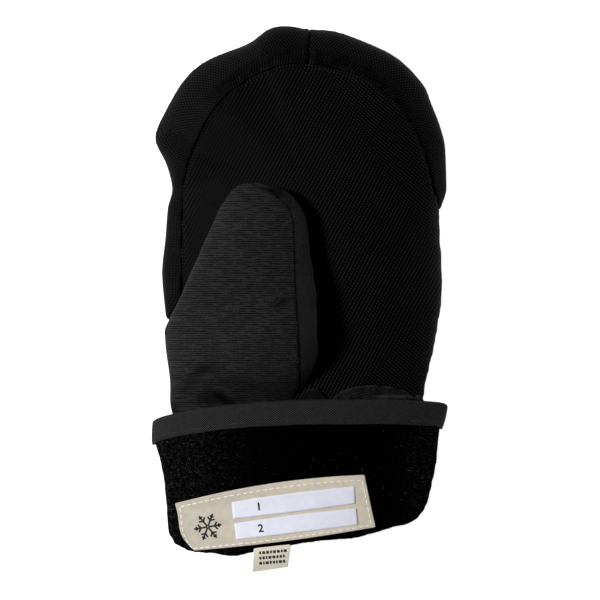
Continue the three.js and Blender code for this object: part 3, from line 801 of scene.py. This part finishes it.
class MITTEN_OT_thumb(bpy.types.Operator):
    """Makes the thumb's ribbed front and its twill underside"""
    bl_idname = "mitten.thumb"
    bl_label = "Thumb"

    def execute(self, context):
        thumb = context.scene.mitten_thumb
        front, seam = padded_panel(
            "thumb_front", "thumb_front_pad", thumb.grain, ["thumb_under"], THUMB_ROLL)
        points, shade = folded(front, points_of(front), seam, THUMB_FOLDS)
        rise = 0.22 * swell(points, 15.0, 31) * ramp(seam, 0.5, 4.0)
        points[:, 2] += rise * np.maximum(normals_of(front)[:, 2], 0)
        set_points(front, points)
        self.weave(front, points, shade)
        dress(front, "thumb_rib", rib_cloth(thumb), "thumb_front")
        under, seam = padded_panel(
            "thumb_under", "thumb_under_pad", thumb.grain, ["thumb_front"], THUMB_ROLL)
        points, shade = folded(under, points_of(under), seam, UNDER_FOLDS)
        rise = 0.25 * swell(points, 11.0, 37) * ramp(seam, 0.5, 4.0)
        set_points(under, points + normals_of(under) * rise[:, None])
        self.weave(under, points, shade)
        dark, light = toned(thumb.dark, 0.6), toned(thumb.light, 1.1)
        twill = twill_cloth("thumb twill", 0.72, 0.9, dark, light, 0.1)
        dress(under, "thumb_twill", twill, "thumb_under")
        return {"FINISHED"}

    def weave(self, piece, points, shade):
        """Lays the cloth's lines over the thumb's top and down its steep side."""
        set_weave(piece, points[:, 0] - points[:, 2] * 0.7, points[:, 1], shade)


# The upper edge of the gathered cloth that shows above the tape, in plan: a small pleat, then a
# large one that ends in a flat strip
PLEAT_EDGE = np.array([
    (-3.0, -36.8), (0.4, -36.4), (1.2, -34.2), (2.2, -32.6), (3.6, -32.0), (5.6, -31.9),
    (7.2, -32.4), (8.8, -33.8), (10.4, -35.6), (11.4, -35.8), (12.6, -34.6), (15.0, -32.8),
    (18.0, -31.7), (21.6, -31.0), (25.2, -30.6), (28.8, -30.7), (32.4, -31.1), (35.1, -31.6),
    (37.8, -32.6), (39.6, -33.6), (41.0, -34.0), (42.8, -34.0), (43.6, -34.5), (44.4, -36.0),
]) + MIDDLE

# How far below the edge the cloth still follows it, and the pleats' soft ends in x
PLEAT_REACH = 4.5
PLEAT_ENDS = {"left": (-4.0, -3.0), "right": (44.6, 45.4)}


def pleated(points):
    """Draws the cloth's upper edge to its pleats, and says how far below it each point lies."""
    across = points[:, 0]
    upper = points[:, 2] > UPPER_SIDE
    stops = np.linspace(-4.0, 46.0, 61)
    slots = np.clip(np.searchsorted(stops, across), 0, len(stops) - 1)
    edge = np.full(len(stops), -60.0)
    np.maximum.at(edge, slots[upper], points[upper, 1])
    edge = np.interp(across, stops, edge)
    wanted = np.interp(across, PLEAT_EDGE[:, 0], PLEAT_EDGE[:, 1])
    inside = ramp(across, *PLEAT_ENDS["left"]) * (1 - ramp(across, *PLEAT_ENDS["right"])) * upper
    share = ramp(points[:, 1], edge - PLEAT_REACH, edge) * inside
    drawn = points.copy()
    drawn[:, 1] += share * (wanted - edge)
    return drawn, wanted - drawn[:, 1]


class MITTEN_OT_wrist(bpy.types.Operator):
    """Makes the gathered wrist cloth that lines the cuff's fold"""
    bl_idname = "mitten.wrist"
    bl_label = "Wrist cloth"

    def execute(self, context):
        cuff = context.scene.mitten_cuff
        wrist = cloth_from("wrist_shell", "wrist_gather")
        smooth_through(wrist, 3)
        points = points_of(wrist)
        shown = ramp(points[:, 1], -43.0, -39.0) * ramp(points[:, 2], UPPER_SIDE, 24.0)
        lift = shown * 0.35 * swell(points, 6.0, 43)
        points, below = pleated(points + normals_of(wrist) * lift[:, None])
        set_points(wrist, points)
        set_weave(wrist, points[:, 0], below, points[:, 1])
        dress(wrist, "wrist_cloth", gathered_cloth(cuff), "wrist_shell")
        return {"FINISHED"}


# The fibres' roots: below the tape in y, and above the part that touches the floor in z
FLEECE_TOP, FLEECE_FOOT = -46.0, 1.5


class MITTEN_OT_fleece(bpy.types.Operator):
    """Makes the fleece cuff and the fibres and lint that stand out of it"""
    bl_idname = "mitten.fleece"
    bl_label = "Fleece cuff"

    def execute(self, context):
        cuff = context.scene.mitten_cuff
        fleece = cloth_from("cuff_lining", "fleece_cuff")
        smooth_through(fleece, 3)
        points = points_of(fleece)
        free = ramp(-points[:, 1], 50.0, 56.0)
        lift = free * (0.35 * swell(points, 13.0, 51) + 0.16 * swell(points, 3.0, 53))
        set_points(fleece, off_floor(points + normals_of(fleece) * lift[:, None]))
        dress(fleece, "fleece", fleece_cloth(cuff), "cuff_lining")
        pile = self.fibres(fleece, cuff)
        dress(pile, "fleece", fibre_cloth(cuff))
        lint = self.lint(fleece)
        dress(lint, "fleece", plain_cloth("lint", (0.085, 0.085, 0.09), 0.9, 3.0, 0.0, 0.9))
        return {"FINISHED"}

    def roots(self, fleece, count, seed, aside):
        """Seeded places on the fleece that shows, with the surface's direction there: they
        lie closer towards the cuff's two sides, by the share aside."""
        chance = np.random.default_rng(seed)
        faces = [face for face in fleece.data.polygons
                 if face.center.y < FLEECE_TOP * MM and face.center.z > FLEECE_FOOT * MM]
        away = np.array([abs(face.center.x) for face in faces]) / MM
        share = np.array([face.area for face in faces]) * (1 + aside * ramp(away, 14.0, 44.0))
        picked = chance.choice(len(faces), count, p=share / share.sum())
        corners = [[tuple(fleece.data.vertices[index].co) for index in faces[number].vertices]
                   for number in picked]
        share = chance.dirichlet((1, 1, 1, 1), count)
        spots = np.array([part[:len(quad)] @ np.array(quad) / part[:len(quad)].sum()
                          for part, quad in zip(share, corners)]) / MM
        ways = np.array([tuple(faces[number].normal) for number in picked])
        return chance, spots, ways

    def fibres(self, fleece, cuff):
        """Thin three-sided spikes, each leaning its own way."""
        chance, spots, ways = self.roots(fleece, cuff.fibres, 61, 1.0)
        lean = ways + chance.normal(0, 0.75, spots.shape)
        lean /= np.linalg.norm(lean, axis=1, keepdims=True)
        length = cuff.fibre / MM * chance.uniform(0.4, 1.7, len(spots))
        side = np.cross(lean, chance.normal(size=spots.shape))
        side /= np.linalg.norm(side, axis=1, keepdims=True)
        other = np.cross(lean, side)
        thick, sunk = 0.035, 0.1
        foot = spots - ways * sunk
        corners = [foot + thick * (math.cos(turn) * side + math.sin(turn) * other)
                   for turn in THREE_SIDES]
        tip = spots + lean * length[:, None]
        points = np.stack([*corners, tip], axis=1).reshape(-1, 3)
        starts = 4 * np.arange(len(spots))[:, None]
        sides = np.array([[0, 1, 3], [1, 2, 3], [2, 0, 3], [0, 2, 1]])
        faces = (starts[:, :, None] + sides[None]).reshape(-1, 3)
        return self.made("fleece_fibres", points, faces)

    def lint(self, fleece):
        """Pale bits of lint: curled threads with three sides."""
        chance, spots, ways = self.roots(fleece, 760, 67, 1.0)
        points, faces = [], []
        stops = 6
        for spot, way in zip(spots, ways):
            here = spot + way * 0.25
            heading = np.cross(way, chance.normal(size=3))
            heading /= np.linalg.norm(heading)
            curl = chance.normal(0, 1.6)
            size = chance.uniform(0.05, 0.22)
            thick = chance.uniform(0.03, 0.06)
            base = len(points)
            for stop in range(stops):
                across = np.cross(way, heading)
                for turn in THREE_SIDES:
                    points.append(here + thick * (math.cos(turn) * across + math.sin(turn) * way))
                here = here + heading * size + way * chance.normal(0, 0.04)
                heading = heading + across * curl * 0.35
                heading /= np.linalg.norm(heading)
            for stop in range(stops - 1):
                ring = base + 3 * stop
                for k in range(3):
                    after = (k + 1) % 3
                    faces.append([ring + k, ring + after, ring + after + 3, ring + k + 3])
            last = base + 3 * (stops - 1)
            faces.append([base + 2, base + 1, base])
            faces.append([last, last + 1, last + 2])
        return self.made("fleece_lint", np.array(points), faces)

    def made(self, name, points, faces):
        """A piece of many loose parts, from points in millimetres."""
        mesh = bpy.data.meshes.new(name)
        mesh.from_pydata([tuple(point * MM) for point in points], [], [list(f) for f in faces])
        mesh.update()
        piece = bpy.data.objects.new(name, mesh)
        bpy.context.collection.objects.link(piece)
        return piece


def joined(name, copies):
    """Joins loose copies into one named piece."""
    clear_selection()
    for copy in copies:
        copy.select_set(True)
    bpy.context.view_layer.objects.active = copies[0]
    bpy.ops.object.join()
    copies[0].name = name
    copies[0].data.name = name
    return copies[0]


def stitch_places(spots, ups, run, count, reach, lift, margin=0):
    """Even places along a line on a piece, each lifted a little, with the line's way, taken
    over the points within reach, and the surface's direction. A closed line has no margin, and
    an open one keeps its places off its ends by one."""
    places = []
    for middle in (np.arange(count) + 0.5) * run[-1] / count:
        index = int(np.clip(np.searchsorted(run, middle), margin, len(spots) - 1 - margin))
        way = spots[(index + reach) % len(spots)] - spots[index - reach]
        way /= np.linalg.norm(way)
        up = ups[index] - way * (ups[index] @ way)
        up /= np.linalg.norm(up)
        places.append((spots[index] + up * lift, way, up))
    return places


def stitch_copies(places, length, width, height):
    """One plump stitch, modelled once and copied to each place with its own mesh."""
    clear_selection()
    bpy.ops.mesh.primitive_uv_sphere_add(segments=8, ring_count=6, radius=0.5)
    pattern = bpy.context.active_object
    shape = points_of(pattern) * MM
    shape[:, 0] = np.sign(shape[:, 0]) * np.abs(2 * shape[:, 0]) ** 0.6 / 2
    copies = []
    for centre, way, up in places:
        copy = pattern.copy()
        copy.data = pattern.data.copy()
        bpy.context.collection.objects.link(copy)
        side = np.cross(up, way)
        axes = np.array([way * length, side * width, up * height])
        set_points(copy, centre + shape @ axes)
        copies.append(copy)
    bpy.data.objects.remove(pattern)
    return copies


class MITTEN_OT_binding(bpy.types.Operator):
    """Makes the binding tape round the cuff's brim and its row of stitches"""
    bl_idname = "mitten.binding"
    bl_label = "Binding tape"

    def execute(self, context):
        cuff = context.scene.mitten_cuff
        tape = cloth_from("cuff_binding", "binding_tape")
        smooth_through(tape, 3)
        points = points_of(tape)
        lift = 0.10 * swell(points, 9.0, 71)
        set_points(tape, off_floor(points + normals_of(tape) * lift[:, None]))
        stitches = self.stitches(tape, cuff)
        set_points(stitches, off_floor(points_of(stitches)))
        points = points_of(tape)
        set_weave(tape, -girth(points), points[:, 1], np.ones(len(points)))
        dark, light = toned(cuff.tape, 0.12), toned(cuff.tape, 2.05)
        twill = twill_cloth("binding", 0.62, 1.0, dark, light, 0.08)
        dress(tape, "binding_tape", twill, "cuff_binding")
        thread = plain_cloth("binding thread", cuff.thread, 0.5, 2.2, 0.03, 0.9)
        dress(stitches, "binding_tape", thread)
        return {"FINISHED"}

    def stitches(self, tape, cuff):
        """Finds the tape's lower edge all round and sews along it."""
        tree = tree_of(tape.name)
        middle = Vector((GIRTH["middle"][0] * MM, 0, GIRTH["middle"][1] * MM))
        inset, gap = 1.5, 0.5
        spots, ups = [], []
        for turn in np.linspace(0, 2 * math.pi, 721)[:-1]:
            way = Vector((math.cos(turn), 0, 0.35 * math.sin(turn))).normalized()
            outside = middle + way * 0.2
            for y in np.arange(-56.0, -34.0, 0.3):
                place, _, _, _ = tree.ray_cast(outside + Vector((0, y * MM, 0)), -way)
                if place is not None and (place - middle).dot(way) > 0:
                    above = outside + Vector((0, (y + inset) * MM, 0))
                    place, normal, _, _ = tree.ray_cast(above, -way)
                    spots.append(np.array(place) / MM)
                    ups.append(np.array(normal))
                    break
        run = run_along(np.array([*spots, spots[0]]))
        length = cuff.stitch / MM
        places = stitch_places(spots, ups, run, int(run[-1] / (length + gap)), 3, -0.03)
        return joined("binding_stitches", stitch_copies(places, length, 0.28, 0.26))


# The label's corners in plan: top left, top right, bottom right, bottom left. Then how far its
# top and bottom edges bow out and how far its left end bulges. The bulge's curve down the label,
# down ** 2 * (1 - down), is 1 at its widest when it is scaled by the last value
LABEL = np.array([(-44.7, -73.5), (23.1, -63.3), (27.0, -81.9), (-38.1, -90.6)]) + MIDDLE
LABEL_BOW = {"top": 2.1, "bottom": 0.7, "left": 2.2}
BULGE_SCALE = 27 / 4

# The label's stitches: their inset in shares of the label, their length and their spacing
LABEL_STITCH = {"across": 0.015, "down": 0.07, "length": 1.9, "step": 2.45}

# The two writing fields' corners in the same order, the numerals in them, and the snowflake
FIELDS = [
    np.array([(-24.5, -72.4), (19.7, -66.8), (19.9, -73.0), (-24.0, -78.5)]),
    np.array([(-23.6, -80.1), (20.3, -74.7), (20.9, -80.5), (-22.9, -85.9)]),
]
NUMERALS = [{"text": "1", "at": (-15.6, -75.4)}, {"text": "2", "at": (-14.9, -83.2)}]
MOTIF = {"at": (-33.1, -81.4), "reach": 5.0, "arm": 0.62, "turn": 10.0}


def across_quad(corners, across, down):
    """Points inside four corners, by their share across and down."""
    top = corners[0] + np.outer(across, corners[1] - corners[0])
    bottom = corners[3] + np.outer(across, corners[2] - corners[3])
    return top + down[:, None] * (bottom - top)


def surface_below(tree, point):
    """The place on the surface straight below a point in plan, and its direction there."""
    start = Vector((point[0] * MM, point[1] * MM, SKY * MM))
    place, normal, _, _ = tree.ray_cast(start, DOWN)
    if place is None:
        raise RuntimeError(f"there is no cloth under {point[:2]}")
    return np.array(place) / MM, np.array(normal)


def laid(piece, tree, lift):
    """Drops a flat piece's points onto the surface below them, keeping their own heights."""
    points = points_of(piece)
    for point in points:
        place, _ = surface_below(tree, point)
        point[2] += place[2] + lift
    set_points(piece, points)


def flat_patch(name, corners, columns, rows, bow=(0.0, 0.0)):
    """A grid of faces inside four corners, with its long edges bowed."""
    clear_selection()
    bpy.ops.mesh.primitive_grid_add(x_subdivisions=columns, y_subdivisions=rows, size=1)
    piece = bpy.context.active_object
    piece.name = piece.data.name = name
    square = points_of(piece) * MM
    across, down = square[:, 0] + 0.5, 0.5 - square[:, 1]
    plan = across_quad(corners, across, down)
    lift = 4 * across * (1 - across) * (bow[0] * (1 - down) - bow[1] * down)
    set_points(piece, np.column_stack([plan[:, 0], plan[:, 1] + lift, 0 * across]))
    return piece


def thickened(piece, depth):
    """Gives a laid sheet its thickness, downwards."""
    apply(piece, "SOLIDIFY", thickness=depth * MM, offset=-1, use_rim=True)


class MITTEN_OT_label(bpy.types.Operator):
    """Makes the sewn name label with its fields, numerals, motif and stitches"""
    bl_idname = "mitten.label"
    bl_label = "Name label"

    def execute(self, context):
        colours = context.scene.mitten_label
        label = cloth_from("name_label", "label_satin")
        smooth_through(label, 3, crease=0.9)
        points = points_of(label)
        ripple = 0.10 * swell(points, 8.0, 81)
        points[:, 2] += ripple
        set_points(label, points)
        set_weave(label, points[:, 0], points[:, 1] - 0.14 * points[:, 0], points[:, 2])
        # Both satins are painted darker at their left, which faces the key lamp: painted shade
        satin = satin_cloth("label satin", colours.satin, left=0.62)
        dress(label, "label_satin", satin, "name_label")
        tree = tree_of(label.name)
        field = satin_cloth("field satin", colours.field, 0.04, left=0.86)
        for number, corners in enumerate(FIELDS):
            name = f"label_field_{number + 1}"
            patch = flat_patch(name, corners + MIDDLE, 60, 10, (0.5, 0.2))
            laid(patch, tree, 0.12)
            thickened(patch, 0.2)
            points = points_of(patch)
            set_weave(patch, points[:, 0], points[:, 1] - 0.12 * points[:, 0], points[:, 2])
            dress(patch, "label_satin", field)
        ink = plain_cloth("label ink", colours.ink, 0.6, 0.5, 0.02, 0.3)
        for numeral in NUMERALS:
            dress(self.numeral(numeral, tree), "label_satin", ink)
        dress(self.motif(tree), "label_satin", ink)
        thread = plain_cloth("label thread", colours.thread, 0.45, 0.4, 0.03, 0.15)
        dress(self.stitches(tree), "label_satin", thread)
        return {"FINISHED"}

    def numeral(self, numeral, tree):
        """One printed number, turned as the label lies."""
        clear_selection()
        bpy.ops.object.text_add()
        text = bpy.context.active_object
        text.data.body = numeral["text"]
        text.data.size = 4.0 * MM
        text.data.offset = 0.1 * MM
        bpy.ops.object.convert(target="MESH")
        piece = bpy.context.active_object
        piece.name = piece.data.name = f"label_numeral_{numeral['text']}"
        points = points_of(piece)
        tilt = math.radians(7)
        turn = np.array([[math.cos(tilt), math.sin(tilt)], [-math.sin(tilt), math.cos(tilt)]])
        points[:, :2] = points[:, :2] @ turn + numeral["at"] + MIDDLE
        set_points(piece, points)
        laid(piece, tree, 0.17)
        thickened(piece, 0.1)
        return piece

    def motif(self, tree):
        """A plain snowflake of six barbed arms."""
        reach, arm = MOTIF["reach"], MOTIF["arm"]
        bars = []
        for point in range(6):
            angle = math.radians(60 * point + MOTIF["turn"])
            way = np.array([math.cos(angle), math.sin(angle)])
            bars.append((way * 0.2, way * reach))
            for place in (0.5, 0.76):
                for side in (-1, 1):
                    lean = angle + side * math.radians(55)
                    barb = np.array([math.cos(lean), math.sin(lean)])
                    foot = way * reach * place
                    bars.append((foot, foot + barb * reach * (1.02 - place) * 0.62))
        copies = []
        for start, end in bars:
            along = (end - start) / np.linalg.norm(end - start)
            side = np.array([-along[1], along[0]]) * arm / 2
            corners = np.array([start + side, end + side, end - side, start - side])
            copies.append(flat_patch("bar", corners + MOTIF["at"] + MIDDLE, 6, 2))
        piece = joined("label_snowflake", copies)
        laid(piece, tree, 0.06)
        thickened(piece, 0.12)
        return piece

    def stitches(self, tree):
        """A row of stitches a little inside each of the label's edges."""
        places = []
        left, top = LABEL_STITCH["across"], LABEL_STITCH["down"]
        corners = [(left, top), (1 - left, top), (1 - left, 1 - top), (left, 1 - top)]
        for start, end in zip(corners, corners[1:] + corners[:1]):
            share = np.linspace(0, 1, 241)
            across = start[0] + share * (end[0] - start[0])
            down = start[1] + share * (end[1] - start[1])
            plan = across_quad(LABEL, across, down)
            bow = LABEL_BOW["top"] * (1 - down) - LABEL_BOW["bottom"] * down
            bulge = LABEL_BOW["left"] * BULGE_SCALE * down ** 2 * (1 - down)
            plan[:, 0] -= bulge * (1 - across) ** 2
            plan[:, 1] += 4 * across * (1 - across) * bow
            spots, ups = zip(*(surface_below(tree, point) for point in plan))
            run = run_along(np.array(spots))
            count = max(1, round(run[-1] / LABEL_STITCH["step"]))
            places += stitch_places(spots, ups, run, count, 2, 0.02, margin=2)
        copies = stitch_copies(places, LABEL_STITCH["length"], 0.42, 0.36)
        return joined("label_stitches", copies)


# The tag's marks: their height, the distance of two rows and the gap between two marks
MARKS = {"high": 1.0, "row": 1.9, "gap": 0.4}


class MITTEN_OT_tag(bpy.types.Operator):
    """Makes the small folded size tag with its rows of woven marks"""
    bl_idname = "mitten.tag"
    bl_label = "Size tag"

    def execute(self, context):
        colours = context.scene.mitten_label
        tag = cloth_from("size_tag", "tag_satin")
        smooth_through(tag, 3, crease=0.9)
        points = points_of(tag)
        set_weave(tag, points[:, 0], points[:, 1], points[:, 2])
        dress(tag, "tag_satin", satin_cloth("tag satin", colours.tag), "size_tag")
        tree = tree_of(tag.name)
        bars = []
        chance = np.random.default_rng(91)
        low, high = points.min(axis=0), points.max(axis=0)
        for row in range(3):
            x = low[0] + 2.6
            while x < high[0] - 2.4:
                size = chance.uniform(0.45, 1.1)
                y = high[1] - 3.2 - MARKS["row"] * row + 0.09 * (x - low[0])
                top, foot = y + MARKS["high"] / 2, y - MARKS["high"] / 2
                corners = np.array([(x, top), (x + size, top), (x + size, foot), (x, foot)])
                bars.append(flat_patch("mark", corners, 2, 2))
                x += size + MARKS["gap"]
        marks = joined("tag_marks", bars)
        laid(marks, tree, 0.05)
        thickened(marks, 0.1)
        dress(marks, "tag_satin", plain_cloth("tag ink", colours.ink, 0.6, 0.5, 0.02, 0.3))
        return {"FINISHED"}


class MITTEN_OT_stage(bpy.types.Operator):
    """Makes the pale floor, the soft lights and the camera straight above"""
    bl_idname = "mitten.stage"
    bl_label = "Stage"

    def execute(self, context):
        stage = context.scene.mitten_stage
        self.floor()
        self.sky(context.scene, stage.sky)
        self.area("key", (-1.45, 0.28, 1.82), 0.35, stage.key_power)
        self.area("fill", (1.4, -0.1, 0.34), 0.5, stage.fill_power)
        lens = bpy.data.cameras.new("camera")
        sensor, measured_at = 0.036, 0.015
        lens.sensor_width = sensor / MM
        lens.lens = sensor * (stage.camera_height - measured_at) / stage.frame_width / MM
        lens.clip_end = 100
        camera = bpy.data.objects.new("camera", lens)
        camera.location = (*(MIDDLE * MM), stage.camera_height)
        context.scene.collection.objects.link(camera)
        context.scene.camera = camera
        context.scene.view_settings.view_transform = "Standard"
        return {"FINISHED"}

    def floor(self):
        clear_selection()
        bpy.ops.mesh.primitive_plane_add(size=30, location=(0, 0, -0.02 * MM))
        floor = bpy.context.active_object
        floor.name = "floor"
        paper = Cloth("paper", Roughness=0.9, Specular_IOR_Level=0.1)
        paper.shader.inputs["Base Color"].default_value = (0.5, 0.5, 0.5, 1)
        paper.shader.inputs["Emission Color"].default_value = (1, 1, 1, 1)
        paper.shader.inputs["Emission Strength"].default_value = 1.0
        floor.data.materials.append(paper.material)

    def sky(self, scene, strength):
        world = bpy.data.worlds.new("sky")
        world.use_nodes = True
        background = world.node_tree.nodes["Background"]
        background.inputs["Color"].default_value = (1, 1, 1, 1)
        background.inputs["Strength"].default_value = strength
        scene.world = world

    def area(self, name, place, size, power):
        light = bpy.data.lights.new(name, "AREA")
        light.size = size
        light.energy = power
        lamp = bpy.data.objects.new(name, light)
        lamp.location = place
        lamp.rotation_euler = (-Vector(place)).to_track_quat("-Z", "Y").to_euler()
        bpy.context.scene.collection.objects.link(lamp)


class MITTEN_PT_panel(bpy.types.Panel):
    """Shows the mitten's settings and a button for each step"""
    bl_label = "Mitten"
    bl_space_type = "VIEW_3D"
    bl_region_type = "UI"
    bl_category = "Mitten"

    def draw(self, context):
        for group in (context.scene.mitten_hand, context.scene.mitten_thumb,
                      context.scene.mitten_cuff, context.scene.mitten_label,
                      context.scene.mitten_stage):
            box = self.layout.box()
            for name in group.__annotations__:
                box.prop(group, name)
        for step in STEPS:
            self.layout.operator(step.bl_idname)


STEPS = (
    MITTEN_OT_stage,
    MITTEN_OT_hand,
    MITTEN_OT_thumb,
    MITTEN_OT_wrist,
    MITTEN_OT_fleece,
    MITTEN_OT_binding,
    MITTEN_OT_label,
    MITTEN_OT_tag,
)
GROUPS = {
    "mitten_hand": MittenHand,
    "mitten_thumb": MittenThumb,
    "mitten_cuff": MittenCuff,
    "mitten_label": MittenLabel,
    "mitten_stage": MittenStage,
}


def register():
    for name, group in GROUPS.items():
        bpy.utils.register_class(group)
        setattr(bpy.types.Scene, name, PointerProperty(type=group))
    for step in STEPS:
        bpy.utils.register_class(step)
    bpy.utils.register_class(MITTEN_PT_panel)


def unregister():
    bpy.utils.unregister_class(MITTEN_PT_panel)
    for step in reversed(STEPS):
        bpy.utils.unregister_class(step)
    for name, group in reversed(GROUPS.items()):
        delattr(bpy.types.Scene, name)
        bpy.utils.unregister_class(group)


def main():
    register()
    for step in STEPS:
        group, name = step.bl_idname.split(".")
        getattr(getattr(bpy.ops, group), name)()


if __name__ == "__main__":
    main()
